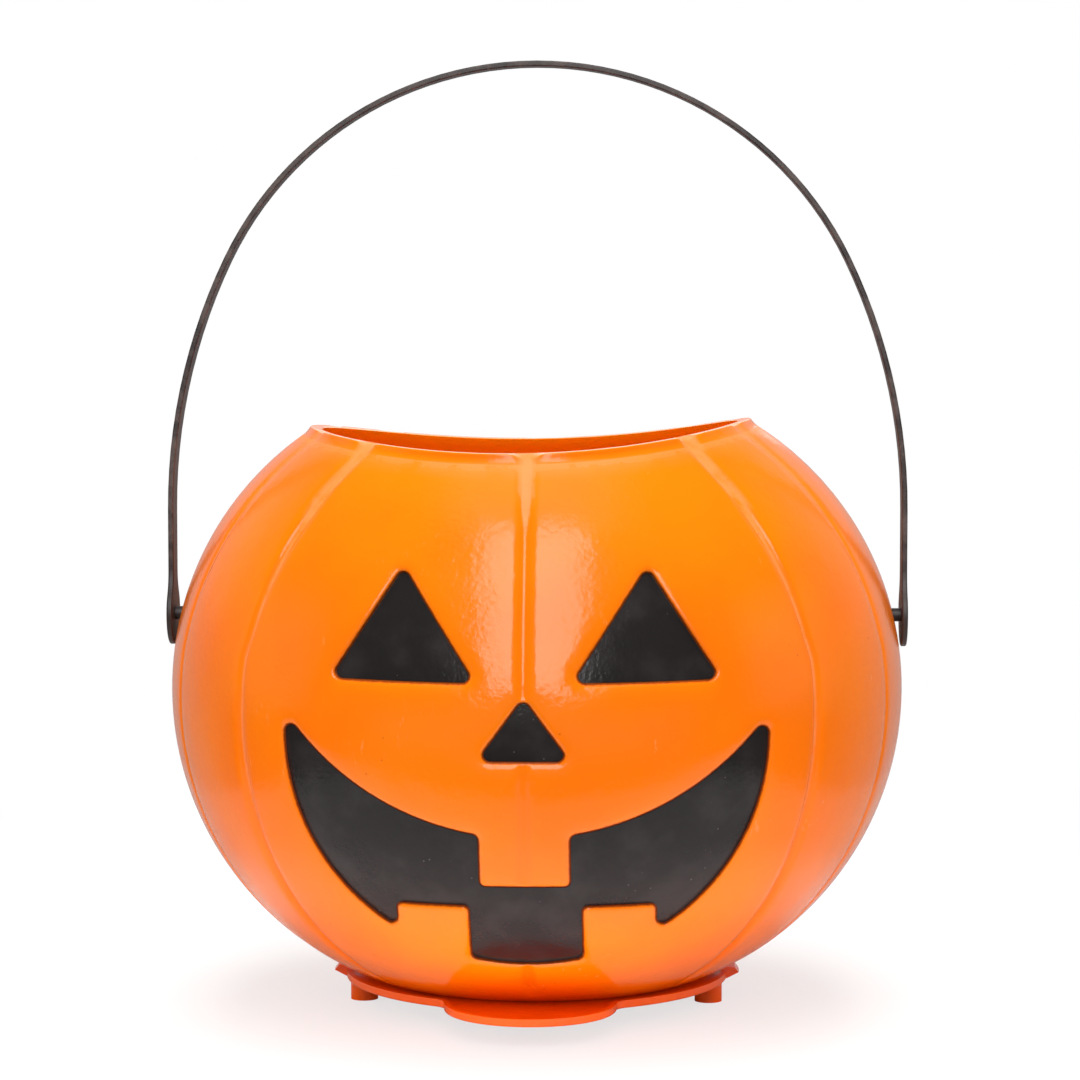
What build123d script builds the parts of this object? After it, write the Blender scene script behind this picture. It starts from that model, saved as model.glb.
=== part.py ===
import os
from math import cos, radians, sin, sqrt

from build123d import *

# A pumpkin candy pail: a hollow shell with a painted face, a strap handle that swings on two studs,
# and a lid that is carried under the base. Millimetres, +Z up, the face looks along -Y.
# Heights of the shell and the handle are counted from the underside of the shell.
overrun = 5.0

# Pumpkin shell, one bulging arc turned about the upright axis
belly_radius = 95.0
belly_height = 75.2
base_draw = 52.1
mouth_draw = 39.4
shell_wall = 1.7
base_edge_radius = 2.5
foot_ring_width = 10.9
pushup_depth = 2.6

# Rim, a saddle that stands highest at the sides and dips at the front and the back
rim_rise = 5.6
bead_height = 2.8
bead_proud = 0.6
bead_edge_radius = 0.6

# Upright grooves between the pumpkin's ribs, by their angle from the front
groove_width = 3.0
groove_depth = 0.9
groove_angles = (0, 48, 70, 110, 132, 180, 228, 250, 290, 312)
groove_sweep_angle = 80

# Face, drawn in the front view and sunk into the shell
recess_depth = 1.9
paint_film = 0.3
paint_clearance = 0.1
corner_radius = 1.6
eye_width = 35.0
eye_height = 26.5
eye_spread = 29.0
eye_base_rise = 10.6
nose_width = 22.0
nose_height = 15.0
nose_base_drop = 7.9
grin_tip_angle = 37.7
grin_tip_rise = 1.2
grin_lip_drop = 28.1
grin_low_height = 14.1
upper_tooth_width = 22.0
upper_tooth_drop = 12.5
lower_tooth_width = 18.0
lower_tooth_rise = 12.0
lower_tooth_spread = 22.5

# Strap handle, hung on a stud at each side
pivot_rise = 18.8
strap_thickness = 1.45
strap_width = 7.8
strap_edge_radius = 0.4
leg_length = 27.3
arch_rise = 116.1
crown_half_angle = 64
paddle_radius = 8.2
paddle_gap = 0.45
paddle_neck_radius = 9.0
stud_radius = 1.75
stud_clearance = 0.08
stud_head_radius = 2.7
stud_head_length = 2.0
stud_head_gap = 0.4
stud_root = 0.5

# Lid under the base, a tray on pegs
lid_side_gap = 1.2
lid_edge_wall = 1.5
lid_floor = 1.2
lid_edge_rise = 0.8
lid_corner_radius = 0.5
tab_radius = 21.6
tab_length = 18.3
tab_root_radius = 5.0
spigot_clearance = 0.3
spigot_wall = 1.6
lug_width = 9.0
lug_height = 3.0
lug_tip_proud = 3.1
lug_tip_rise = 1.6
lug_top_proud = 2.0
peg_radius = 3.55
peg_height = 5.5
peg_inset = 4.6
peg_angles = (82, 135, 225, 278)

low_end = (Align.CENTER, Align.CENTER, Align.MIN)

# The arc that runs from the edge of the base, upright at the belly, to the mouth
base_radius = belly_radius - base_draw
mouth_radius = belly_radius - mouth_draw
bulge_radius = (base_draw**2 + belly_height**2) / (2 * base_draw)
bulge_centre = belly_radius - bulge_radius
rim_side_height = belly_height + sqrt(bulge_radius**2 - (mouth_radius - bulge_centre) ** 2)
rim_dip_height = rim_side_height - rim_rise
pivot_height = belly_height + pivot_rise
pushup_radius = base_radius - foot_ring_width


def shell_radius(height, inset=0):
    return bulge_centre + sqrt((bulge_radius - inset) ** 2 - (height - belly_height) ** 2)


base_height = peg_height + lid_floor
lid_inner_radius = shell_radius(lug_height - lid_floor) + lid_side_gap
lid_radius = lid_inner_radius + lid_edge_wall


def round_belly(inset):
    # The whole turned bulge, drawn in by inset, or out where inset is negative, with flat ends
    core_radius = max(bulge_centre, 0)
    half_height = sqrt((bulge_radius - inset) ** 2 - (core_radius - bulge_centre) ** 2)
    low = belly_height - half_height
    high = belly_height + half_height
    arc = ThreePointArc((core_radius, low), (belly_radius - inset, belly_height), (core_radius, high))
    bulge = revolve(Plane.XZ * make_face([arc, Line((core_radius, high), (core_radius, low))]), Axis.Z)
    return bulge + slab(low, high, core_radius) if core_radius else bulge


def slab(low, high, radius):
    return Pos(0, 0, low) * Cylinder(radius, high - low, align=low_end)


def saddle(drop):
    # A cylinder that lies along Y, whose underside is the rim's curve lowered by drop
    radius = (mouth_radius**2 + rim_rise**2) / (2 * rim_rise)
    length = 2 * (belly_radius + overrun)
    return Pos(0, 0, rim_dip_height + radius - drop) * Rot(90, 0, 0) * Cylinder(radius, length)


def grooves():
    # Round-bottomed channels that follow the bulge from the base to the rim
    ball = (groove_width**2 / 4 + groove_depth**2) / (2 * groove_depth)
    section = Pos(belly_radius + ball - groove_depth, 0, belly_height) * Circle(ball)
    bulge_axis = Axis((bulge_centre, 0, belly_height), (0, 1, 0))
    groove = revolve(section, bulge_axis, 2 * groove_sweep_angle).rotate(bulge_axis, -groove_sweep_angle)
    return [Rot(0, 0, angle - 90) * groove for angle in groove_angles]


def triangle(width, height, base, across):
    left = (across - width / 2, base)
    right = (across + width / 2, base)
    face = make_face(Polyline(left, right, (across, base + height), close=True))
    return fillet(face.vertices(), corner_radius)


def grin():
    # The left half of a crescent between two circles, with teeth cut from both lips, then its mirror image
    tip_height = belly_height + grin_tip_rise
    half_width = shell_radius(tip_height) * sin(radians(grin_tip_angle))
    lip_height = tip_height - grin_lip_drop
    lip_radius = (half_width**2 + grin_lip_drop**2) / (2 * grin_lip_drop)
    chin_drop = tip_height - grin_low_height
    chin_radius = (half_width**2 + chin_drop**2) / (2 * chin_drop)
    half = Pos(0, grin_low_height + chin_radius) * Circle(chin_radius)
    half -= Pos(0, lip_height + lip_radius) * Circle(lip_radius)
    half -= Pos(0, lip_height) * Rectangle(upper_tooth_width, 2 * upper_tooth_drop)
    chin_height = grin_low_height + chin_radius - sqrt(chin_radius**2 - lower_tooth_spread**2)
    half -= Pos(-lower_tooth_spread, chin_height) * Rectangle(lower_tooth_width, 2 * lower_tooth_rise)
    half -= Pos(belly_radius, belly_height) * Rectangle(2 * belly_radius, 4 * belly_height)
    corners = half.vertices().sort_by(Axis.X)[:-2]
    half = fillet(corners, corner_radius)
    return half + mirror(half, Plane.YZ)


def face_outlines():
    eye_base = belly_height + eye_base_rise
    nose_base = belly_height - nose_base_drop
    return {
        "left_eye_paint": triangle(eye_width, eye_height, eye_base, -eye_spread),
        "right_eye_paint": triangle(eye_width, eye_height, eye_base, eye_spread),
        "nose_paint": triangle(nose_width, nose_height, nose_base, 0),
        "mouth_paint": grin(),
    }


def forward(outline):
    # A prism from halfway out to the front of the shell and on through it
    start = belly_radius / 2
    return extrude(Plane.XZ.offset(start) * outline, start + overrun)


def paddle_inner():
    # Inner face of the handle's ends, clear of the widest part of the shell that they cover
    lowest = max(pivot_height - paddle_radius, belly_height)
    return shell_radius(lowest) + paddle_gap


def pail_body(outlines):
    top = rim_side_height + overrun
    outside = round_belly(0) & slab(0, top, belly_radius + overrun)
    outside = fillet(outside.edges().group_by(Axis.Z)[0], base_edge_radius)
    outside -= grooves()
    bead = round_belly(-bead_proud) & saddle(bead_height)
    body = outside + bead - saddle(0)

    hollow = round_belly(shell_wall) & slab(shell_wall, top, belly_radius)
    hollow -= slab(0, pushup_depth + shell_wall, pushup_radius + shell_wall)
    behind = round_belly(recess_depth + shell_wall)
    for outline in outlines.values():
        hollow -= forward(offset(outline, shell_wall)) - behind
    body -= hollow
    rim = body.faces().filter_by(GeomType.CYLINDER).sort_by(Axis.Z)[-1]
    body = fillet(rim.edges(), bead_edge_radius)
    body -= slab(-overrun, pushup_depth, pushup_radius)

    floor = round_belly(recess_depth)
    for outline in outlines.values():
        body -= forward(outline) - floor

    hole = Cylinder(stud_radius + stud_clearance, 2 * (belly_radius + overrun))
    return body - Pos(0, 0, pivot_height) * Rot(0, 90, 0) * hole


def face_paint(outline):
    film = round_belly(recess_depth - paint_film) - round_belly(recess_depth)
    return forward(offset(outline, -paint_clearance)) & film


def strap_band():
    # The handle's front view: an upright leg, a side arc and half the crown, then its mirror image
    outer = paddle_inner() + strap_thickness
    turn = radians(crown_half_angle)
    determinant = sin(turn) * cos(turn) - (1 - sin(turn)) * (1 - cos(turn))
    crown = (outer * cos(turn) - arch_rise * (1 - sin(turn))) / determinant
    side = (arch_rise * sin(turn) - outer * (1 - cos(turn))) / determinant
    foot = pivot_height - paddle_radius
    spring = pivot_height + leg_length
    edges = []
    for inset in (0, strap_thickness):
        side_centre = (outer - side, spring)
        crown_centre = (0, spring + arch_rise - crown)
        leg = Line((outer - inset, foot), (outer - inset, spring))
        flank = CenterArc(side_centre, side - inset, 0, 90 - crown_half_angle)
        top = CenterArc(crown_centre, crown - inset, 90 - crown_half_angle, crown_half_angle)
        edges += [leg, flank, top]
    edges.append(Line(edges[0] @ 0, edges[3] @ 0))
    edges.append(Line(edges[2] @ 1, edges[5] @ 1))
    half = Plane.XZ * make_face(edges)
    return extrude(half, paddle_radius, both=True)


def shell_slope():
    # How fast the shell draws in with height beside the studs
    rise = abs(pivot_height - belly_height)
    return rise / sqrt(bulge_radius**2 - rise**2)


def carry_handle():
    reach = paddle_inner() + strap_thickness + overrun
    height = leg_length + arch_rise + overrun
    outline = Pos(0, pivot_height + height / 2) * Rectangle(strap_width, height)
    outline += Pos(0, pivot_height) * Circle(paddle_radius)
    necks = outline.vertices().filter_by(lambda corner: abs(corner.Y - pivot_height) < paddle_radius)
    outline = fillet(necks, paddle_neck_radius)
    half = strap_band() & extrude(Plane.YZ * outline, reach)
    strap = half + mirror(half, Plane.YZ)
    strap = fillet(strap.edges(), strap_edge_radius)

    head = shell_radius(pivot_height, shell_wall) - stud_head_radius * shell_slope() - stud_head_gap
    tip = head - stud_head_length
    shank = Cylinder(stud_radius, paddle_inner() + stud_root - tip, align=low_end)
    cap = Cone(stud_radius, stud_head_radius, stud_head_length, align=low_end)
    stud = Pos(tip, 0, pivot_height) * Rot(0, 90, 0) * (shank + cap)
    return strap + stud + mirror(stud, Plane.YZ)


def storage_lid():
    outline = Circle(lid_radius) + Pos(0, tab_radius - lid_radius - tab_length) * Circle(tab_radius)
    outline = offset(offset(outline, tab_root_radius), -tab_root_radius)
    tray = Pos(0, 0, peg_height) * extrude(outline, lid_floor + lid_edge_rise)
    tray = fillet(tray.faces().sort_by(Axis.Z)[0].edges(), lid_corner_radius)
    inner = offset(outline, -lid_edge_wall)
    tray -= Pos(0, 0, base_height) * extrude(inner, lid_edge_rise + overrun)

    spigot = Circle(pushup_radius - spigot_clearance)
    spigot -= Circle(pushup_radius - spigot_clearance - spigot_wall)
    tray += Pos(0, 0, base_height) * extrude(spigot, pushup_depth - spigot_clearance)

    lug_top = peg_height + lug_height
    lug_tip = (lid_radius + lug_tip_proud, peg_height + lug_tip_rise)
    lug_edge = [(lid_inner_radius, peg_height), (lid_radius, peg_height), lug_tip]
    lug_edge += [(lid_radius + lug_top_proud, lug_top), (lid_inner_radius, lug_top)]
    lugs = revolve(Plane.XZ * make_face(Polyline(lug_edge, close=True)), Axis.Z)
    tray += lugs & Box(2 * (lid_radius + lug_tip_proud), lug_width, 2 * lug_top)

    peg = slab(0, peg_height, peg_radius)
    for angle in peg_angles:
        tray += Rot(0, 0, angle - 90) * Pos(lid_radius - peg_inset, 0, 0) * peg
    return tray


outlines = face_outlines()
nodes = {"pail_body": pail_body(outlines), "carry_handle": carry_handle()}
for name, outline in outlines.items():
    nodes[name] = face_paint(outline)
nodes = {name: Pos(0, 0, base_height) * solid for name, solid in nodes.items()}
nodes["storage_lid"] = storage_lid()

os.makedirs("parts", exist_ok=True)
for name, solid in nodes.items():
    export_step(solid, os.path.join("parts", name + ".step"))
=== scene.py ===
import math

import bpy
import numpy as np
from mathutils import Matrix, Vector
from mathutils.geometry import delaunay_2d_cdt


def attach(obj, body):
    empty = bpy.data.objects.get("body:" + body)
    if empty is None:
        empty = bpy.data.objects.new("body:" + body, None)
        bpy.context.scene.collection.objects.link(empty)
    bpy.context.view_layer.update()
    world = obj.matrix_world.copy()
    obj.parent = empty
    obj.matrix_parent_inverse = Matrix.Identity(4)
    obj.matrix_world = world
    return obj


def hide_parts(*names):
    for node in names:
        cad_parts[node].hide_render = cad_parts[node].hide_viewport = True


mm = 0.001
hair = 1e-6  # places nearer than this count as one

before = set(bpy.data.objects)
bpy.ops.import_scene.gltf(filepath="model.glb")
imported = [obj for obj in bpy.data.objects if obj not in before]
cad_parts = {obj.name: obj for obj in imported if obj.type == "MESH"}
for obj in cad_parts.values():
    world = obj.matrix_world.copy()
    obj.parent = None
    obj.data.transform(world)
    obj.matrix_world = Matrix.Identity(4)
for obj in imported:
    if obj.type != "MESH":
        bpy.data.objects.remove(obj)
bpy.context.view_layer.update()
print("frame loaded:", ", ".join(sorted(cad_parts)))


class Wire:
    # a socket that takes part in sums, so that a pattern reads as plain arithmetic
    def __init__(self, board, socket):
        self.board, self.socket = board, socket

    def math(self, operation, first, second):
        return self.board.node("ShaderNodeMath", {"operation": operation}, {0: first, 1: second})

    def __add__(self, other):
        return self.math("ADD", self, other)

    def __radd__(self, other):
        return self.math("ADD", other, self)

    def __sub__(self, other):
        return self.math("SUBTRACT", self, other)

    def __rsub__(self, other):
        return self.math("SUBTRACT", other, self)

    def __mul__(self, other):
        return self.math("MULTIPLY", self, other)

    def __rmul__(self, other):
        return self.math("MULTIPLY", other, self)

    def __abs__(self):
        return self.board.node("ShaderNodeMath", {"operation": "ABSOLUTE"}, {0: self})

    def ease(self, low, high):  # 0 below low, 1 above high, smooth between
        return self.board.node("ShaderNodeMapRange", {"interpolation_type": "SMOOTHSTEP"},
                               {"Value": self, "From Min": low, "From Max": high})

    def fall(self, low, high):
        return 1 - self.ease(low, high)


class Board:
    # the nodes of one material, or of the room's light
    def __init__(self, owner):
        owner.use_nodes = True
        self.owner, self.tree = owner, owner.node_tree
        self.tree.nodes.clear()

    def node(self, kind, settings=None, sockets=None, out=0):
        made = self.tree.nodes.new(kind)
        for key, value in (settings or {}).items():
            setattr(made, key, value)
        for key, value in (sockets or {}).items():
            if isinstance(value, Wire):
                self.tree.links.new(value.socket, made.inputs[key])
            else:
                made.inputs[key].default_value = value
        return Wire(self, made.outputs[out]) if made.outputs else None

    def place(self):
        return self.node("ShaderNodeTexCoord", out="Object")

    def axis(self, vector, letter):
        return self.node("ShaderNodeSeparateXYZ", {}, {0: vector}, letter)

    def stretched(self, vector, scale):
        return self.node("ShaderNodeVectorMath", {"operation": "MULTIPLY"}, {0: vector, 1: scale})

    def noise(self, vector, size, detail=2.0, roughness=0.5):  # size is one blotch's width in metres
        return self.node("ShaderNodeTexNoise", {},
                         {"Vector": vector, "Scale": 1 / size, "Detail": detail, "Roughness": roughness})

    def dots(self, vector, size):
        return self.node("ShaderNodeTexVoronoi", {}, {"Vector": vector, "Scale": 1 / size}, "Distance")

    def field(self, name):
        return self.node("ShaderNodeAttribute", {"attribute_name": name}, {}, "Fac")

    def blend(self, amount, first, second):
        return self.node("ShaderNodeMix", {"data_type": "RGBA"}, {0: amount, 6: first, 7: second}, 2)

    def bump(self, height, depth):
        return self.node("ShaderNodeBump", {}, {"Height": height, "Strength": 1.0, "Distance": depth})

    def finish(self, sockets):
        shader = self.node("ShaderNodeBsdfPrincipled", {}, sockets)
        self.node("ShaderNodeOutputMaterial", {}, {"Surface": shader})
        return self.owner


def newBoard(name):
    return Board(bpy.data.materials.new(name))


def pickNone():
    if bpy.context.object and bpy.context.object.mode != "OBJECT":
        bpy.ops.object.mode_set(mode="OBJECT")
    bpy.ops.object.select_all(action="DESELECT")


def pickOnly(piece):
    pickNone()
    bpy.context.view_layer.objects.active = piece
    piece.select_set(True)


def clearPick(piece, kind):
    # nothing in the piece stays selected, so that code can select its edges or faces
    pickOnly(piece)
    bpy.ops.object.mode_set(mode="EDIT")
    bpy.ops.mesh.select_mode(type=kind)
    bpy.ops.mesh.select_all(action="DESELECT")
    bpy.ops.object.mode_set(mode="OBJECT")


def mergeDoubles(distance):
    bpy.ops.mesh.select_all(action="SELECT")
    bpy.ops.mesh.remove_doubles(threshold=distance)


def points(piece):
    flat = np.empty(len(piece.data.vertices) * 3, np.float32)
    piece.data.vertices.foreach_get("co", flat)
    return flat.reshape(-1, 3).astype(float)


def movePoints(piece, places):
    piece.data.vertices.foreach_set("co", places.astype(np.float32).ravel())
    piece.data.update()


def ease(value, low, high):
    share = np.clip((value - low) / (high - low), 0, 1)
    return share * share * (3 - 2 * share)


def turnGap(turn, angle):  # degrees between two turns about the axis
    return np.abs((turn - angle + 180) % 360 - 180)


# the pumpkin shell, turned from one profile, then grooved and sunk for the painted face
shell = {
    "bellyRadius": 95 * mm, "bellyHeight": 81.9 * mm, "baseDraw": 52.1 * mm, "mouthDraw": 39.4 * mm,
    "baseHeight": 6.7 * mm, "wall": 1.7 * mm, "footRadius": 32 * mm, "pushup": 2.6 * mm,
    "footRound": 0.6 * mm, "footBreak": 0.18 * mm,
    "baseEdge": (0.45 * mm, 0.05 * mm, 0.2 * mm),  # in from the edge, out past it, and up to the arc
    "floorEdge": (0.9 * mm, 0.3 * mm, 0.25 * mm),  # in along the floor, out at the corner, and up there
    "rimRise": 5.6 * mm, "rimTilt": 1.4 * mm, "backDrop": 1.3 * mm,
    "lipHeight": 2.7 * mm, "lipFace": 0.8 * mm, "lipFillet": 2.4 * mm, "lipTop": 0.3 * mm,
    "lipSweep": 0.94, "lipSteps": 9,  # the fillet's share of the way to the arc's slope
    "lipOver": ((0.6 * mm, 0), (1.2 * mm, 0.03 * mm), (1.5 * mm, 0.16 * mm)),  # in from the skin, and down
    "rimUnder": 0.5 * mm,
    "columns": 360, "outerRows": 60, "innerRows": 40,
    "grooveAngles": (0, 48, 70, 110, 132, 180, 228, 250, 290, 312),
    "grooveSplit": 88, "grooveColumns": 10,  # percent of the next column, and new columns there
    "faceAngle": 44, "faceLow": 11.5 * mm, "faceHigh": 127.5 * mm, "faceTurn": 1.2,
    "recess": 1.9 * mm, "filmGap": 0.1 * mm,
    "holeHeight": 100.7 * mm, "holeRadius": 1.83 * mm, "drillSides": 48, "drillLength": 240 * mm,
    "smoothAngle": 50,
}
skinFrom, skinBand = 0.15 * mm, 0.12 * mm  # where the skin starts, and how far off the arc it may lie
baseRun = shell["bellyHeight"] - shell["baseHeight"]
bulge = (shell["baseDraw"] ** 2 + baseRun ** 2) / (2 * shell["baseDraw"])  # radius of the bulging arc
core = shell["bellyRadius"] - bulge  # how far that arc's centre stands from the axis
mouth = shell["bellyRadius"] - shell["mouthDraw"]
rimDip = shell["bellyHeight"] + math.sqrt(bulge ** 2 - (mouth - core) ** 2) - shell["rimRise"]
saddle = (mouth ** 2 + shell["rimRise"] ** 2) / (2 * shell["rimRise"])  # radius of the rim's saddle curve
lipLow = rimDip - shell["lipHeight"]


def onArc(distance, height):
    return core + math.sqrt(distance ** 2 - (height - shell["bellyHeight"]) ** 2), height


def arcRows(distance, start, end, count):
    # points on the wall's arc at one distance from its centre, from one height to another
    first, last = (math.asin((height - shell["bellyHeight"]) / distance) for height in (start, end))
    return [(core + distance * math.cos(turn), shell["bellyHeight"] + distance * math.sin(turn))
            for turn in np.linspace(first, last, count + 1)]


def lipSection():
    # the front of the rim's lip, from the fillet under it, up its face and over its top edge
    face, fillet, top = shell["lipFace"], shell["lipFillet"], shell["lipTop"]
    steep = math.asin((lipLow - shell["bellyHeight"]) / bulge)
    corner = face + fillet * math.tan(steep / 2)
    upright = onArc(bulge, rimDip - corner)[0]
    line = []
    for turn in np.linspace(shell["lipSweep"] * steep, 0, shell["lipSteps"]):
        line.append((upright + fillet * (1 - math.cos(turn)), rimDip - face - fillet * math.sin(turn)))
    for turn in np.radians((0, 30, 60, 90)):
        line.append((upright - top * (1 - math.cos(turn)), rimDip - top * (1 - math.sin(turn))))
    return line


def shellProfile():
    # from the middle of the base, out and up the skin, over the rim and down the inside
    base, foot, push = shell["baseHeight"], shell["footRadius"], shell["pushup"]
    soft, tiny = shell["footRound"], shell["footBreak"]
    line = [(0, base + push), (foot - soft, base + push), (foot - tiny, base + push - tiny),
            (foot, base + push - soft), (foot, base + soft), (foot + tiny, base + tiny), (foot + soft, base)]
    edge = shell["bellyRadius"] - shell["baseDraw"]
    inset, nip, rise = shell["baseEdge"]
    line += [(edge - inset, base), (edge + nip, base + nip)]
    line += arcRows(bulge, base + rise, lipLow, shell["outerRows"])
    line += lipSection()
    line += [onArc(bulge - into, rimDip - down) for into, down in shell["lipOver"]]
    inner, floor, step = bulge - shell["wall"], base + shell["wall"], foot + shell["wall"]
    inset, nip, rise = shell["floorEdge"]
    line += arcRows(inner, rimDip - shell["rimUnder"], floor + inset, shell["innerRows"])
    corner = onArc(inner, floor)[0]
    line += [(corner + nip, floor + rise), (corner - inset, floor), (step + soft, floor),
             (step + tiny, floor + tiny), (step, floor + soft), (step, floor + push - soft),
             (step - tiny, floor + push - tiny), (step - soft, floor + push), (0, floor + push)]
    return line


def turnShell():
    pickNone()
    line = shellProfile()
    bpy.ops.mesh.primitive_plane_add(size=mm, location=(0, 0, 0))
    piece = bpy.context.object
    piece.name = piece.data.name = "pumpkinShell"
    bpy.ops.object.mode_set(mode="EDIT")
    bpy.ops.mesh.merge(type="CENTER")  # the plane's corners become the profile's first point
    bpy.ops.transform.translate(value=(0, -line[0][0], line[0][1]))
    for (fromRadius, fromHeight), (toRadius, toHeight) in zip(line, line[1:]):
        move = (0, fromRadius - toRadius, toHeight - fromHeight)
        bpy.ops.mesh.extrude_region_move(TRANSFORM_OT_translate={"value": move})
    bpy.ops.mesh.select_all(action="SELECT")
    bpy.ops.mesh.spin(steps=shell["columns"], angle=2 * math.pi, center=(0, 0, 0), axis=(0, 0, 1))
    mergeDoubles(2 * hair)
    bpy.ops.object.mode_set(mode="OBJECT")
    return piece


def polar(places):
    # turn about the upright axis from the front, turn along the bulging arc, distance from its centre
    reach = np.hypot(places[:, 0], places[:, 1])
    around = np.arctan2(places[:, 0], -places[:, 1])
    along = np.arctan2(places[:, 2] - shell["bellyHeight"], reach - core)
    away = np.hypot(reach - core, places[:, 2] - shell["bellyHeight"])
    return around, along, away


def fromPolar(around, along, away):
    reach = core + away * np.cos(along)
    return np.stack([reach * np.sin(around), -reach * np.cos(around),
                     shell["bellyHeight"] + away * np.sin(along)], 1)


def onSkin(places):
    height = places[:, 2]
    between = (height > shell["baseHeight"] + skinFrom) & (height < lipLow + hair)
    return between & (np.abs(polar(places)[2] - bulge) < skinBand)


def onLip(places):
    return (places[:, 2] > lipLow + hair) & (polar(places)[2] > bulge - skinBand)


def splitGrooveColumns(piece):
    # more columns beside each groove, so that its round bottom is smooth
    places = points(piece)
    around = np.degrees(polar(places)[0]) % 360
    skin = onSkin(places) | onLip(places)
    lines = np.zeros(len(places), int)
    for number, angle in enumerate(shell["grooveAngles"]):
        lines[(turnGap(around, angle) < 0.1) & skin] = number + 1
    clearPick(piece, "EDGE")
    for edge in piece.data.edges:
        first, second = edge.vertices
        edge.select = bool(lines[first] and lines[first] == lines[second])
    bpy.ops.object.mode_set(mode="EDIT")
    bpy.ops.mesh.bevel(offset_type="PERCENT", offset_pct=shell["grooveSplit"],
                       segments=shell["grooveColumns"], affect="EDGES", clamp_overlap=True)
    bpy.ops.object.mode_set(mode="OBJECT")


def paintOutline(name):
    # the front edge of a paint film, as one closed loop in the front view
    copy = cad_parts[name].copy()
    copy.data = copy.data.copy()
    bpy.context.scene.collection.objects.link(copy)
    pickOnly(copy)
    bpy.ops.object.mode_set(mode="EDIT")
    mergeDoubles(hair)
    bpy.ops.object.mode_set(mode="OBJECT")
    facing, edgeOn = -0.4, 0.15  # how far a face's normal points to the back
    fronts, sides = set(), set()
    for face in copy.data.polygons:
        if face.normal.y < facing:
            fronts.update(face.edge_keys)
        elif abs(face.normal.y) < edgeOn:
            sides.update(face.edge_keys)
    ahead = {}
    for first, second in fronts & sides:
        ahead.setdefault(first, []).append(second)
        ahead.setdefault(second, []).append(first)
    start = min(ahead)
    loop = [start, ahead[start][0]]
    while loop[-1] != start:
        loop.append(next(step for step in ahead[loop[-1]] if step != loop[-2]))
    places = points(copy)[loop[:-1]][:, [0, 2]]
    bpy.data.objects.remove(copy)
    nextPlaces = np.roll(places, -1, 0)
    area = np.sum(places[:, 0] * nextPlaces[:, 1] - nextPlaces[:, 0] * places[:, 1])
    return places if area > 0 else places[::-1]


def spaced(loop, spacing):
    # the loop again with even steps, and the way out at each of its points
    closed = np.vstack([loop, loop[:1]])
    run = np.concatenate([[0], np.cumsum(np.hypot(*np.diff(closed, axis=0).T))])
    count = int(run[-1] / spacing)
    marks = np.arange(count) * run[-1] / count
    even = np.stack([np.interp(marks, run, closed[:, 0]), np.interp(marks, run, closed[:, 1])], 1)
    ahead = np.roll(even, -1, 0) - np.roll(even, 1, 0)
    out = np.stack([ahead[:, 1], -ahead[:, 0]], 1)
    return even, out / np.linalg.norm(out, axis=1)[:, None]


farOff, edgeReach = 1.0, 12 * mm  # stands for no edge near, and how near an edge counts


def edgeDistance(places, loops):
    # distance in the front view to the recess's edge, negative inside
    best = np.full(len(places), farOff)
    inside = np.zeros(len(places), bool)
    for loop in loops:
        near = np.all((places > loop.min(0) - edgeReach) & (places < loop.max(0) + edgeReach), 1)
        spots = places[near]
        closest, crossed = np.full(len(spots), farOff), np.zeros(len(spots), bool)
        for start, end in zip(loop, np.roll(loop, -1, 0)):
            way = end - start
            share = np.clip((spots - start) @ way / (way @ way), 0, 1)
            closest = np.minimum(closest, np.hypot(*(spots - start - share[:, None] * way).T))
            if start[1] != end[1]:
                over = (start[1] > spots[:, 1]) != (end[1] > spots[:, 1])
                crossed ^= over & (spots[:, 0] < start[0] + way[0] * (spots[:, 1] - start[1]) / way[1])
        best[near] = np.minimum(best[near], closest)
        inside[near] |= crossed
    return np.where(inside, -best, best) - shell["filmGap"]


# how deep the skin lies at each distance from the edge of the black
rollAcross = np.array([-0.1, 0.05, 0.22, 0.42, 0.65, 0.95, 1.35, 1.9, 2.6, 3.5, 4.6]) * mm
rollDeep = np.array([1.9, 1.74, 1.27, 0.9, 0.66, 0.47, 0.32, 0.2, 0.1, 0.03, 0]) * mm

# the points of the new front: rows along the black, columns in the middle groove, and a grid elsewhere
filling = {
    "insideRows": (-1.3, -0.5), "coarseFrom": 1.2, "tied": (-0.2, 0.5),  # these in mm from the black
    "fineStep": 0.6 * mm, "coarseStep": 1.0 * mm,
    "rowSlack": 0.04 * mm, "rowStretch": 0.03, "borderGap": 0.4 * mm, "straightGap": 0.1 * mm,
    "grooveHalf": 5.2 * mm, "grooveStep": 1.1 * mm, "grooveClear": 1.1 * mm, "grooveEnds": (1.2 * mm, 1 * mm),
    "gridAcross": 2.4 * mm, "gridUp": 2.3 * mm, "gridShift": 1.2 * mm,
    "gridSides": (1.6 * mm, 2.4 * mm), "gridEnds": (2 * mm, 1.2 * mm),
    "gridClear": 5.3 * mm, "gridInside": -2.2 * mm, "gridFromGroove": 5.7 * mm,
    "leastArea": 1e-4 * mm * mm,
}


def cutFront(piece):
    # the part of the skin that carries the face is taken out
    places = points(piece)
    limit = math.radians(shell["faceAngle"]) + 1e-4
    within = onSkin(places) & (np.abs(polar(places)[0]) < limit)
    within &= (places[:, 2] > shell["faceLow"]) & (places[:, 2] < shell["faceHigh"])
    clearPick(piece, "FACE")
    for face in piece.data.polygons:
        face.select = bool(within[list(face.vertices)].all())
    bpy.ops.object.mode_set(mode="EDIT")
    bpy.ops.mesh.delete(type="FACE")
    bpy.ops.object.mode_set(mode="OBJECT")


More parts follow.
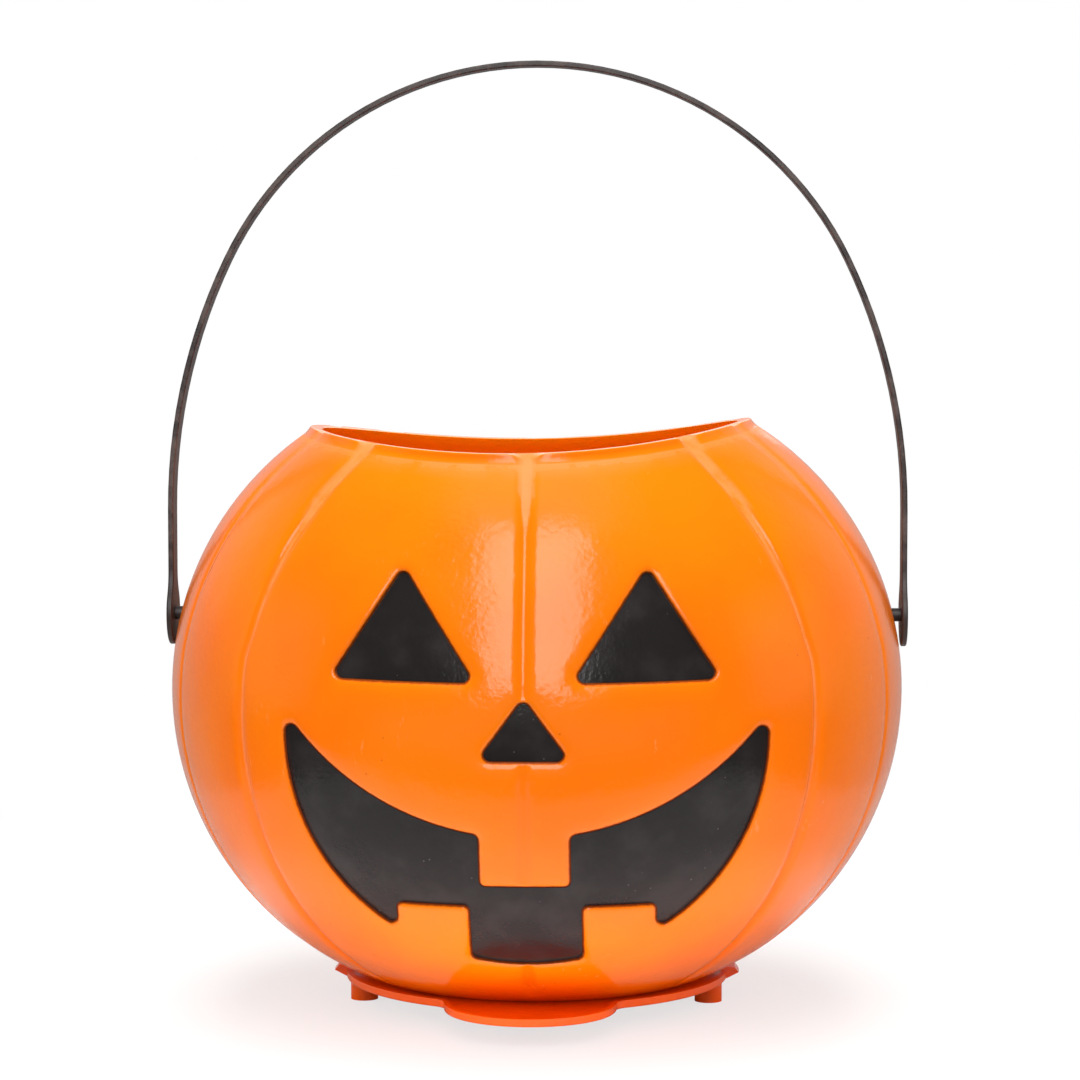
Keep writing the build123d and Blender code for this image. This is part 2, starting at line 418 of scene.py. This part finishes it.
def fillFront(piece, loops):
    # the gap is filled again, worked out on a flat sheet, with rows of points along every edge of the face
    places = points(piece)
    around, along, _ = polar(places)
    uses = {}
    for face in piece.data.polygons:
        for key in face.edge_keys:
            uses[key] = uses.get(key, 0) + 1
    border = [key for key, count in uses.items() if count == 1]
    ring = sorted({corner for key in border for corner in key})
    number = {corner: place for place, corner in enumerate(ring)}
    edges = [(number[first], number[second]) for first, second in border]
    wide, tall = shell["bellyRadius"], bulge  # the sheet's scale across and up
    outer = np.stack([around[ring] * wide, along[ring] * tall], 1)
    for side in (0, 1):  # straight sides, so that no sliver is added outside them
        for limit in (outer[:, side].min(), outer[:, side].max()):
            outer[np.abs(outer[:, side] - limit) < filling["straightGap"], side] = limit
    sheet = [outer]

    def toSheet(front):
        turn = np.arcsin((front[:, 1] - shell["bellyHeight"]) / bulge)
        return np.stack([np.arcsin(front[:, 0] / (core + bulge * np.cos(turn))) * wide, turn * tall], 1)

    def toFront(flat):
        turn = flat[:, 1] / tall
        return np.stack([(core + bulge * np.cos(turn)) * np.sin(flat[:, 0] / wide),
                         shell["bellyHeight"] + bulge * np.sin(turn)], 1)

    lowest = places[ring, 2].min() + filling["borderGap"]
    highest = places[ring, 2].max() - filling["borderGap"]
    tiedFrom, tiedTo = filling["tied"]
    for loop in loops:
        for across in (*filling["insideRows"], *(rollAcross / mm)):
            fine = across < filling["coarseFrom"]
            even, out = spaced(loop, filling["fineStep"] if fine else filling["coarseStep"])
            row = even + out * (across * mm + shell["filmGap"])
            slack = filling["rowSlack"] + filling["rowStretch"] * abs(across) * mm
            kept = np.abs(edgeDistance(row, loops) - across * mm) < slack
            kept &= (row[:, 1] > lowest) & (row[:, 1] < highest)
            first = sum(map(len, sheet))
            sheet.append(toSheet(row[kept]))
            if kept.all() and tiedFrom < across < tiedTo:  # a whole row beside the black becomes edges
                last = first + len(row)
                edges += [(spot, spot + 1 if spot + 1 < last else first) for spot in range(first, last)]

    low, high = outer.min(0), outer.max(0)
    inGroove = np.unique(np.round(outer[np.abs(outer[:, 0]) < filling["grooveHalf"], 0], 7))
    start, end = filling["grooveEnds"]
    upright = np.arange(low[1] + start, high[1] - end, filling["grooveStep"])
    columns = np.array([(across, up) for across in inGroove for up in upright])
    sheet.append(columns[edgeDistance(toFront(columns), loops) > filling["grooveClear"]])
    start, end = filling["gridEnds"]
    rows = np.arange(low[1] + start, high[1] - end, filling["gridUp"])
    start, end = filling["gridSides"]
    spots = np.arange(low[0] + start, high[0] - end, filling["gridAcross"])
    grid = np.array([(across + (step % 2) * filling["gridShift"], up)
                     for step, up in enumerate(rows) for across in spots])
    far = edgeDistance(toFront(grid), loops)
    clearSpots = (far > filling["gridClear"]) & (np.abs(grid[:, 0]) > filling["gridFromGroove"])
    sheet.append(grid[clearSpots | (far < filling["gridInside"])])

    corners = [Vector(spot) for spot in np.vstack(sheet) / mm]
    flat, _, faces, sources, _, _ = delaunay_2d_cdt(corners, edges, [], 0, 1e-5)
    flat = np.array([tuple(spot) for spot in flat]) * mm
    turned = []
    for a, b, c in faces:
        area = np.cross(flat[b] - flat[a], flat[c] - flat[a])
        if abs(area) > filling["leastArea"]:
            turned.append((a, b, c) if area > 0 else (a, c, b))
    filled = fromPolar(flat[:, 0] / wide, flat[:, 1] / tall, np.full(len(flat), bulge))
    for spot, source in enumerate(sources):
        if source and source[0] < len(ring):
            filled[spot] = places[ring[source[0]]]
    mesh = bpy.data.meshes.new("facePatch")
    mesh.from_pydata(filled, [], turned)
    patch = bpy.data.objects.new("facePatch", mesh)
    bpy.context.scene.collection.objects.link(patch)
    pickOnly(piece)
    patch.select_set(True)
    bpy.ops.object.join()
    bpy.ops.object.mode_set(mode="EDIT")
    mergeDoubles(3 * hair)
    bpy.ops.mesh.normals_make_consistent(inside=False)
    bpy.ops.object.mode_set(mode="OBJECT")
    print("face patch:", len(flat), "points,", len(turned), "triangles")


def rimLift(around, reach):
    # the saddle curve of the rim, and the soft plastic's lean to one side and sag at the back
    across = reach * np.sin(around)
    lean = shell["rimTilt"] * np.sin(around) - shell["backDrop"] * (0.5 - 0.5 * np.cos(around)) ** 2
    return saddle - np.sqrt(saddle ** 2 - across ** 2) + lean


# the side grooves lean towards the middle as they near the rim: turns in degrees at each height
leanHeights = np.array([95, 101, 107, 113, 118.5, 124.5, 130, 135.6, 140.4, 145.5, 152]) * mm
leanTurns = np.radians([0, 0.9, 1.5, 2.1, 2.9, 3.7, 4.5, 5.3, 6.7, 7.8, 8.4])
leanAside, leanShare = (48, 70, 88), (1, 0.55, 0)  # less towards the sides
calmHeights, calmTurns, calmEnd = np.array([92, 105, 118, 127]) * mm, (40, 34.5, 29, 24), 47  # none on the face


def leaned(around, height):
    turn = np.degrees(np.abs(around))
    aside = np.minimum(turn, 180 - turn)
    share = ease(aside, np.interp(height, calmHeights, calmTurns), calmEnd)
    share = share * np.interp(aside, leanAside, leanShare)
    towards = np.where(turn < 90, -1, 1) * np.sign(around)
    return around + towards * share * np.interp(height, leanHeights, leanTurns)


def unleaned(around, height):
    turn = around.copy()
    for _ in range(10):
        turn += around - leaned(turn, height)
    return turn


# the middle grooves are those at the front and back, and the ones nearest the handle are shallow
grooves = {
    "middleWide": 2.3 * mm, "middleDeep": 0.72 * mm, "sideWide": 1.7 * mm, "sideDeep": 0.85 * mm,
    "swellWide": 3.2 * mm, "swellDeep": 0.2 * mm,  # a broad faint dip along each
    "shallow": 0.45, "sideRun": 2,  # a side groove's flare is longer
    "flareFlat": 0.75, "flareShoulder": 1.1 * mm, "flareWiden": 0.6 * mm, "flareFade": 0.4,
    "flareSpan": (-2 * mm, 8 * mm), "footSpan": (1.5 * mm, 8 * mm),
    # the pale strip along the grooves and under the lip is partly dust and partly a painted reflection
    "dustAndSheenHalf": 0.5 * mm, "dustAndSheenSpan": (35 * mm, 75 * mm), "lipDustAndSheen": 0.8,
}
# each groove's flat flare under the lip: how far below it, and half its width there
flareDown = np.array([-3, 0, 4.3, 8, 11.7, 13.5, 14.5]) * mm
flareHalf = np.array([2.4, 2.3, 1.7, 1.3, 0.95, 0.3, 0]) * mm


def nearestGroove(around, reach):
    # distance to the nearest groove, how strongly that one is cut, and how long its flare is
    turn = np.degrees(around) % 360
    gap, cut, run = (np.ones(len(around)) for _ in range(3))
    for angle in shell["grooveAngles"]:
        apart = np.radians(turnGap(turn, angle)) * reach
        near = apart < gap
        aside = abs(math.sin(math.radians(angle)))
        gap[near] = apart[near]
        cut[near] = grooves["shallow"] if aside > 0.9 else 1
        run[near] = 1 if aside < 0.1 else grooves["sideRun"]
    return gap, cut, run


def grooveShape(around, along, height):
    # the groove's depth, and how strongly it and the corner under the lip are painted paler: dust, and partly a
    # painted reflection
    reach = core + bulge * np.cos(along)
    below = lipLow + rimLift(leaned(around, height), reach) - height
    gap, cut, run = nearestGroove(around, reach)
    sideways = run > 1
    half = np.interp(below / run, flareDown, flareHalf)
    flare = 1 - ease(below, *grooves["flareSpan"])
    flat = grooves["flareFlat"] * half
    wide = np.where(sideways, grooves["sideWide"], grooves["middleWide"]) + grooves["flareWiden"] * flare
    wide = np.maximum(wide, flat + grooves["flareShoulder"])
    deep = np.where(sideways, grooves["sideDeep"], grooves["middleDeep"])
    deep *= np.maximum(1 - (np.maximum(gap - flat, 0) / (wide - flat)) ** 2, 0) ** 2
    deep += grooves["swellDeep"] * np.maximum(1 - (gap / grooves["swellWide"]) ** 2, 0) ** 2
    start, end = grooves["footSpan"]
    deep *= cut * (1 - grooves["flareFade"] * flare)
    deep *= ease(height, shell["baseHeight"] + start, shell["baseHeight"] + end)
    half = np.maximum(half, np.where(sideways, grooves["dustAndSheenHalf"] * ease(height, *grooves["dustAndSheenSpan"]), 0))
    strip = (1 - ease(gap, half - 0.25 * mm, half + 0.15 * mm)) * ease(half, 0.05 * mm, 0.4 * mm) * cut
    band = (1 - ease(below, 0.3 * mm, 2.6 * mm)) * ease(below, -0.3 * mm, 0.1 * mm) * grooves["lipDustAndSheen"]
    return deep, np.maximum(strip, band)


# how the lip gives way at each groove, and how far the face's sinking reaches
sinking = {
    "partWide": 3.2, "partTaper": 1.7, "partDown": 2.4 * mm, "partPower": 2.4, "partShare": 0.9,
    "grooveSpan": (-0.1 * mm, 1.2 * mm), "innerSpan": (2 * mm, 6.5 * mm), "reach": 8 * mm,
}


def shapeSkin(piece, loops):
    places = points(piece)
    around, along, away = polar(places)
    skin, lip = onSkin(places), onLip(places)
    inner = (np.abs(away - bulge + shell["wall"]) < 3 * hair) & (places[:, 2] < rimDip)
    away[skin] = bulge
    away[lip] = bulge + (away[lip] - bulge) * (0.5 + 0.5 * np.cos(around[lip]) ** 2)  # slighter at the sides
    lifted = ease(places[:, 2], shell["faceHigh"], lipLow)
    height, reach = places[:, 2].copy(), np.hypot(places[:, 0], places[:, 1])
    upper = lifted > 0
    for _ in range(4):  # the rim's saddle, settled on each point's own place
        height[upper] = (places[:, 2] + lifted * rimLift(leaned(around, height), reach))[upper]
        rise = height[upper] - shell["bellyHeight"]
        reach[upper] = core + np.sqrt(away[upper] ** 2 - rise ** 2)
    along = np.arctan2(height - shell["bellyHeight"], reach - core)

    front = np.stack([reach * np.sin(around), height], 1)
    ahead = (np.abs(around) < shell["faceTurn"]) & (skin | inner)
    edge = np.full(len(places), farOff)
    edge[ahead] = edgeDistance(front[ahead], loops)
    groove = np.where(skin | lip, grooveShape(around, along, height)[0], 0)
    groove *= ease(edge, *sinking["grooveSpan"])
    below = rimDip + rimLift(leaned(around, height), reach) - height
    gap, cut, _ = nearestGroove(around, reach)
    half = (sinking["partWide"] - sinking["partTaper"] * np.clip(below / sinking["partDown"], 0, 1)) * mm
    parted = np.exp(-(gap / half) ** sinking["partPower"]) * cut * sinking["partShare"]
    dip = np.interp(edge, rollAcross, rollDeep)
    deep = np.where(skin, (groove ** 3 + dip ** 3) ** (1 / 3), 0)
    deep = np.where(lip, groove + np.maximum(away - bulge, 0) * parted, deep)
    deep = np.where(inner, shell["recess"] * (1 - ease(edge, *sinking["innerSpan"])), deep)

    made = fromPolar(leaned(around, height), along, away - deep)
    untouched = ~(skin | inner | upper | lip)
    made[untouched] = places[untouched]
    # the face is sunk straight back, so that each edge stays where it is in the front view
    back = ahead & (edge < sinking["reach"])
    deeper = core + np.sqrt((away - deep)[back] ** 2 - (height[back] - shell["bellyHeight"]) ** 2)
    made[back, 0], made[back, 2] = front[back, 0], front[back, 1]
    made[back, 1] = -np.sqrt(deeper ** 2 - front[back, 0] ** 2)
    movePoints(piece, made)


def boreHoles(piece):
    # the holes that the handle's studs turn in
    pickNone()
    bpy.ops.mesh.primitive_cylinder_add(
        vertices=shell["drillSides"], radius=shell["holeRadius"], depth=shell["drillLength"],
        location=(0, 0, shell["holeHeight"]), rotation=(0, math.pi / 2, 0))
    drill = bpy.context.object
    bpy.ops.object.transform_apply(location=True, rotation=True, scale=True)
    cut = piece.modifiers.new("holes", "BOOLEAN")
    cut.operation, cut.solver, cut.object = "DIFFERENCE", "EXACT", drill
    pickOnly(piece)
    bpy.ops.object.modifier_apply(modifier=cut.name)
    bpy.data.objects.remove(drill)


# depths under the skin that tell the recess from the inner wall, and where the inside starts to be painted paler,
# as painted light standing in for light through the thin wall
marking = {
    "far": 20 * mm, "recessTo": 2.1 * mm, "wallFrom": 1.6 * mm, "wallClear": 1 * mm,
    "insideFrom": 1.4 * mm, "insideSpan": (60 * mm, 110 * mm),
}


def markSkin(piece, loops):
    # fields for the finish: millimetres to the black, the pale strip in grooves and under the lip (dust, and
    # partly a painted reflection), the inside near the rim (painted paler as light through the wall)
    places = points(piece)
    around, along, away = polar(places)
    height, far = places[:, 2], marking["far"]
    edge = np.full(len(places), far)
    ahead = (np.abs(around) < shell["faceTurn"]) & (height < shell["faceHigh"])
    ahead &= away > bulge - marking["recessTo"]
    edge[ahead] = np.minimum(edgeDistance(places[ahead][:, [0, 2]], loops), far)
    edge[ahead & (away < bulge - marking["wallFrom"]) & (edge > marking["wallClear"])] = far  # the inner wall
    inside = away < bulge - marking["insideFrom"]
    # the pale strip in the grooves and under the lip: dust, and partly a painted reflection
    dust = grooveShape(unleaned(around, height), along, height)[1]
    dust[inside] = 0
    # the inside near the rim gets painted light: a paler colour standing in for light through the thin wall
    inner = inside * ease(height, *marking["insideSpan"])
    for name, values in (("toBlack", edge / mm), ("dustAndSheen", dust), ("inner", inner)):
        layer = piece.data.attributes.new(name, "FLOAT", "POINT")
        layer.data.foreach_set("value", values.astype(np.float32))


paints = ("left_eye_paint", "right_eye_paint", "nose_paint", "mouth_paint")
outlines = [paintOutline(name) for name in paints]
print("face outlines:", [len(loop) for loop in outlines])
pumpkinShell = turnShell()
print("shell turned:", len(pumpkinShell.data.polygons), "faces")
splitGrooveColumns(pumpkinShell)
cutFront(pumpkinShell)
fillFront(pumpkinShell, outlines)
shapeSkin(pumpkinShell, outlines)
boreHoles(pumpkinShell)
markSkin(pumpkinShell, outlines)
pickOnly(pumpkinShell)
bpy.ops.object.shade_smooth_by_angle(angle=math.radians(shell["smoothAngle"]))
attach(pumpkinShell, "pail")
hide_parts("pail_body")
triangles = sum(len(face.vertices) - 2 for face in pumpkinShell.data.polygons)
print("shell done:", triangles, "triangles")

# the pail's and the lid's orange, each with its lighter and deeper colour, and what lies on it; the lid's orange
# is partly its own deeper tone and partly painted shade, darker and redder for its place under the pail
orange = {
    "pail": ((1.0, 0.2, 0.001, 1), (0.98, 0.175, 0.001, 1)),
    # the lid's pair: its own deeper orange, darkened further as painted shade
    "lid": ((0.92, 0.115, 0.001, 1), (0.86, 0.09, 0.001, 1)),
    # inside: painted light, the paler colour for light coming through the thin wall
    "fleck": (0.45, 0.055, 0.004, 1), "worn": (0.9, 0.3, 0.07, 1), "inside": (1.0, 0.34, 0.003, 1),
    # dust: the pale strip's colour, partly dust and partly a painted reflection
    "dust": (0.96, 0.27, 0.075, 1), "scuff": (0.3, 0.05, 0.03, 1), "overspray": (0.16, 0.018, 0.008, 1),
    "cloudSize": 38 * mm, "fleckSize": 5.5 * mm, "fleckPatch": 30 * mm,
    "rubSize": 1.6 * mm, "rubStretch": (1, 1, 0.22), "rubPatch": 24 * mm,
    "dustSize": 6 * mm, "scuffSize": 1.5 * mm, "scuffPatch": 13 * mm, "spraySize": 1.3 * mm,
    "grainSize": 1.5 * mm, "grain": 0.08, "waveSize": 14 * mm, "wave": 0.25,
    "roughness": 0.17, "smearSize": 7 * mm, "gloss": 0.5,
}


def orangePlastic(name, light, deep, marked):
    board = newBoard(name)
    place = board.place()
    colour = board.blend(board.noise(place, orange["cloudSize"], 3).ease(0.35, 0.7), light, deep)
    fleck = board.dots(place, orange["fleckSize"]).fall(0.03, 0.07)
    fleck = fleck * board.noise(place, orange["fleckPatch"]).ease(0.5, 0.62)
    colour = board.blend(fleck * 0.5, colour, orange["fleck"])
    rub = board.noise(board.stretched(place, orange["rubStretch"]), orange["rubSize"], 4, 0.62)
    worn = rub.ease(0.6, 0.74) * board.noise(place, orange["rubPatch"], 2).ease(0.54, 0.68)
    colour = board.blend(worn * 0.3, colour, orange["worn"])
    matte = 0
    if marked:
        # painted light: the inside near the rim is painted paler, standing in for light coming through the thin
        # wall
        colour = board.blend(board.field("inner"), colour, orange["inside"])
        # the pale strip in grooves and under the lip: dust with its duller finish, and partly a painted
        # reflection
        paleStrip = board.field("dustAndSheen") * board.noise(place, orange["dustSize"], 4, 0.6).ease(0.2, 0.55)
        colour = board.blend(paleStrip * 0.75, colour, orange["dust"])
        matte = paleStrip * 0.3
        scuff = board.noise(place, orange["scuffSize"], 4, 0.7).ease(0.66, 0.72)
        scuff = scuff * board.noise(place, orange["scuffPatch"], 2).ease(0.5, 0.6)
        colour = board.blend(paleStrip * scuff * 0.8, colour, orange["scuff"])
        wobble = board.field("toBlack") + (board.noise(place, orange["spraySize"], 3) - 0.5) * 0.45
        colour = board.blend(wobble.fall(0.12, 0.75) * 0.85, colour, orange["overspray"])
    skin = board.noise(place, orange["grainSize"], 2) * orange["grain"]
    skin = skin + board.noise(place, orange["waveSize"], 2) * orange["wave"]
    smear = (board.noise(place, orange["smearSize"], 4) - 0.5) * 0.08
    return board.finish({
        "Base Color": colour,
        "Roughness": orange["roughness"] + smear + worn * 0.2 + matte,
        "Normal": board.bump(skin - worn * 0.008, 1 * mm),
        "Specular IOR Level": orange["gloss"],
    })


# the sprayed black of the face, streaked, dusty and chipped through to the orange
black = {
    "light": (0.017, 0.0142, 0.0142, 1), "deep": (0.028, 0.0235, 0.0235, 1),
    "dust": (0.12, 0.1, 0.095, 1), "chip": (0.7, 0.12, 0.006, 1),
    "cloudSize": 11 * mm, "streakSize": 1.4 * mm, "streakStretch": (1, 1, 0.12),
    "dustSize": 2.6 * mm, "dustPatch": 14 * mm,
    "chipSize": 4.2 * mm, "chipStretch": (1, 1, 0.7), "chipPatch": 16 * mm, "peelSize": 1.0 * mm,
    "roughness": 0.2, "gloss": 0.4,
}


def blackPaint():
    board = newBoard("facePaint")
    place = board.place()
    streak = board.noise(board.stretched(place, black["streakStretch"]), black["streakSize"], 4, 0.6)
    colour = board.blend(board.noise(place, black["cloudSize"], 3).ease(0.4, 0.7), black["light"], black["deep"])
    dust = board.dots(place, black["dustSize"]).fall(0.05, 0.11)
    dust = dust * board.noise(place, black["dustPatch"]).ease(0.52, 0.62)
    colour = board.blend(dust * 0.5, colour, black["dust"])
    chip = board.dots(board.stretched(place, black["chipStretch"]), black["chipSize"]).fall(0.07, 0.1)
    chip = chip * board.noise(place, black["chipPatch"], 2).ease(0.62, 0.66)
    colour = board.blend(chip, colour, black["chip"])
    peel = board.noise(place, black["peelSize"], 2) * 0.07 + streak * 0.05 - chip * 0.06
    return board.finish({
        "Base Color": colour,
        "Roughness": black["roughness"] + (streak - 0.5) * 0.1 + dust * 0.2,
        "Normal": board.bump(peel, 1 * mm),
        "Specular IOR Level": black["gloss"],
    })


# the handle's black, paler along its edges, partly worn by rubbing and partly a painted highlight where the edges
# catch the light, and scratched lengthwise
strap = {
    "light": (0.022, 0.017, 0.0165, 1), "deep": (0.04, 0.032, 0.03, 1),
    # the edges' paler colour: wear from rubbing, and partly a painted highlight
    "rubbedAndLit": (0.17, 0.13, 0.115, 1), "scratch": (0.14, 0.11, 0.1, 1),
    "cloudSize": 13 * mm, "scratchSize": 0.8 * mm, "scratchStretch": (0.25, 1, 0.25),
    "rubbedAndLitSpan": (3.2 * mm, 3.9 * mm), "rubSize": 6 * mm, "aboveEnds": (111 * mm, 120 * mm),
    "grainSize": 0.7 * mm, "roughness": 0.42, "gloss": 0.5,
}


def strapPlastic():
    board = newBoard("handlePlastic")
    place = board.place()
    lengthwise = board.noise(board.stretched(place, strap["scratchStretch"]), strap["scratchSize"], 4, 0.6)
    colour = board.blend(board.noise(place, strap["cloudSize"], 3).ease(0.35, 0.7), strap["light"], strap["deep"])
    # the edges are painted paler: wear from rubbing, and partly a painted highlight where they catch the light
    rubbedAndLit = abs(board.axis(place, "Y")).ease(*strap["rubbedAndLitSpan"])
    rubbedAndLit = rubbedAndLit * board.noise(place, strap["rubSize"], 4, 0.65).ease(0.38, 0.66)
    rubbedAndLit = rubbedAndLit * board.axis(place, "Z").ease(*strap["aboveEnds"])
    colour = board.blend(rubbedAndLit * 0.5, colour, strap["rubbedAndLit"])
    colour = board.blend(lengthwise.ease(0.63, 0.72) * 0.15, colour, strap["scratch"])
    grain = board.noise(place, strap["grainSize"], 2) * 0.01 + lengthwise * 0.012
    return board.finish({
        "Base Color": colour,
        "Roughness": strap["roughness"] + (lengthwise - 0.5) * 0.12 + rubbedAndLit * 0.12,
        "Normal": board.bump(grain, 1 * mm),
        "Specular IOR Level": strap["gloss"],
    })


def coat(piece, material):
    piece.data.materials.clear()
    piece.data.materials.append(material)


def dress(material, slot, *names):
    for name in names:
        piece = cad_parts[name]
        coat(piece, material)


coat(pumpkinShell, orangePlastic("pailPlastic", *orange["pail"], True))
dress(blackPaint(), "face_paint", *paints)
dress(strapPlastic(), "handle_plastic", "carry_handle")
# the lid's darker, redder orange is partly painted shade
dress(orangePlastic("lidPlasticShaded", *orange["lid"], False), "lid_plastic", "storage_lid")
print("finishes on")

# a white table near its front edge, a tall soft box in front, and weaker light from all round
studio = {
    "roomFront": 0.06, "roomBack": 0.45, "roomTurn": (0.1, 0.85), "roomRise": (0.35, 0.75),
    # name, place, width, height, watts, whether it shows in the gloss
    "boxes": (
        ("frontBox", (0.0, -0.94, 0.76), 0.6, 1.32, 10.4, True),
        ("lowBox", (0.0, -0.75, -0.04), 1.6, 0.16, 1.2, False),
        ("cardBox", (0.0, -0.105, 0.003), 0.26, 0.07, 0.08, False),
        ("topBox", (0.0, -0.2, 1.4), 0.9, 0.7, 12.5, False),
        ("backBox", (0.0, 0.45, 1.35), 0.8, 0.6, 10.0, False),
        ("rearBox", (0.0, 1.05, 0.7), 0.6, 0.9, 1.8, True),
        ("leftBox", (-1.15, -0.05, 0.3), 0.7, 0.6, 4.9, False),
        ("rightBox", (1.15, -0.05, 0.3), 0.7, 0.6, 4.9, False),
    ),
    "aim": (0, 0, 0.1),
}


def aimAt(thing, spot):
    thing.rotation_euler = (Vector(spot) - thing.location).to_track_quat("-Z", "Y").to_euler()


def lightStudio():
    room = bpy.context.scene.world or bpy.data.worlds.new("room")
    bpy.context.scene.world = room
    board = Board(room)
    # the room is bright low down at the back, dark elsewhere, and seen as plain white
    ray = board.node("ShaderNodeTexCoord", out="Generated")
    behind = board.axis(ray, "Y").ease(*studio["roomTurn"]) * board.axis(ray, "Z").fall(*studio["roomRise"])
    level = studio["roomFront"] + behind * (studio["roomBack"] - studio["roomFront"])
    seen = board.node("ShaderNodeLightPath", out="Is Camera Ray")
    strength = level + seen * (1 - level)
    glow = board.node("ShaderNodeBackground", {}, {"Color": (1, 1, 1, 1), "Strength": strength})
    board.node("ShaderNodeOutputWorld", {}, {"Surface": glow})
    for name, spot, wide, tall, power, glossy in studio["boxes"]:
        pickNone()
        bpy.ops.object.light_add(type="AREA", location=spot)
        lamp = bpy.context.object
        lamp.name = name
        lamp.visible_glossy = glossy
        lamp.data.shape, lamp.data.size, lamp.data.size_y, lamp.data.energy = "RECTANGLE", wide, tall, power
        aimAt(lamp, studio["aim"])
        if name == "cardBox":  # it lies on the table and lights the underside
            lamp.rotation_euler, lamp.visible_camera = (math.pi, 0, 0), False


# the table looks white to the camera; for bounced light and in the gloss it is painted grey farther from the
# pail's foot as painted shade, and paler round the foot as a painted pool of bounce light
tableTop = {
    "wide": 0.42, "front": 0.195, "back": 2.0, "drop": 0.02 * mm,
    "pale": (0.93, 0.93, 0.93, 1), "paler": (0.96, 0.96, 0.96, 1), "speckSize": 30 * mm,
    # dull: painted shade of the table away from the foot; foot: a painted pool of bounce light round it
    "dull": (0.34, 0.34, 0.34, 1), "foot": (0.8, 0.8, 0.8, 1), "footSpan": (0.075, 0.145),
    "shadow": 0.3, "shadowSpan": (0.12, 0.45), "shadowFront": (-0.19, -0.12), "shadowSide": (0.12, 0.2),
}


def layTable():
    pickNone()
    long, middle = tableTop["back"] + tableTop["front"], (tableTop["back"] - tableTop["front"]) / 2
    bpy.ops.mesh.primitive_plane_add(size=1, location=(0, middle, -tableTop["drop"]))
    table = bpy.context.object
    table.name = "whiteTable"
    table.scale = (tableTop["wide"], long, 1)
    bpy.ops.object.transform_apply(location=True, rotation=True, scale=True)
    board = newBoard("tableWhite")
    place = board.place()
    seen = board.node("ShaderNodeLightPath", out="Is Camera Ray")
    apart = board.node("ShaderNodeVectorMath", {"operation": "LENGTH"}, {0: place}, "Value")
    pale = board.blend(board.noise(place, tableTop["speckSize"], 3), tableTop["pale"], tableTop["paler"])
    # painted light and shade: paler round the foot as a pool of bounce light, painted grey farther off
    dull = board.blend(apart.fall(*tableTop["footSpan"]), tableTop["dull"], tableTop["foot"])
    matte = board.node("ShaderNodeBsdfDiffuse", {}, {"Color": board.blend(seen, dull, pale)})
    white = board.node("ShaderNodeEmission", {}, {"Color": (1, 1, 1, 1), "Strength": 1.0})
    # the shadow shows only round the foot, and fades before the table's edges
    shaded = apart.fall(*tableTop["shadowSpan"]) * board.axis(place, "Y").ease(*tableTop["shadowFront"])
    shaded = shaded * abs(board.axis(place, "X")).fall(*tableTop["shadowSide"])
    clear = seen * (1 - shaded * tableTop["shadow"])
    mixed = board.node("ShaderNodeMixShader", {}, {0: clear, 1: matte, 2: white})
    board.node("ShaderNodeOutputMaterial", {}, {"Surface": mixed})
    table.data.materials.append(board.owner)


view = {
    "place": (31.6 * mm, -904.4 * mm, 182 * mm), "aim": (0.8 * mm, 0, 120 * mm),
    "lens": 115.8, "sensor": 36, "clip": (0.01, 50),
}


def setCamera():
    pickNone()
    bpy.ops.object.camera_add(location=view["place"])
    camera = bpy.context.object
    aimAt(camera, view["aim"])
    camera.data.lens, camera.data.sensor_width = view["lens"], view["sensor"]
    camera.data.clip_start, camera.data.clip_end = view["clip"]
    bpy.context.scene.camera = camera


lightStudio()
layTable()
setCamera()
bpy.context.scene.view_settings.view_transform = "Standard"
print("studio ready")
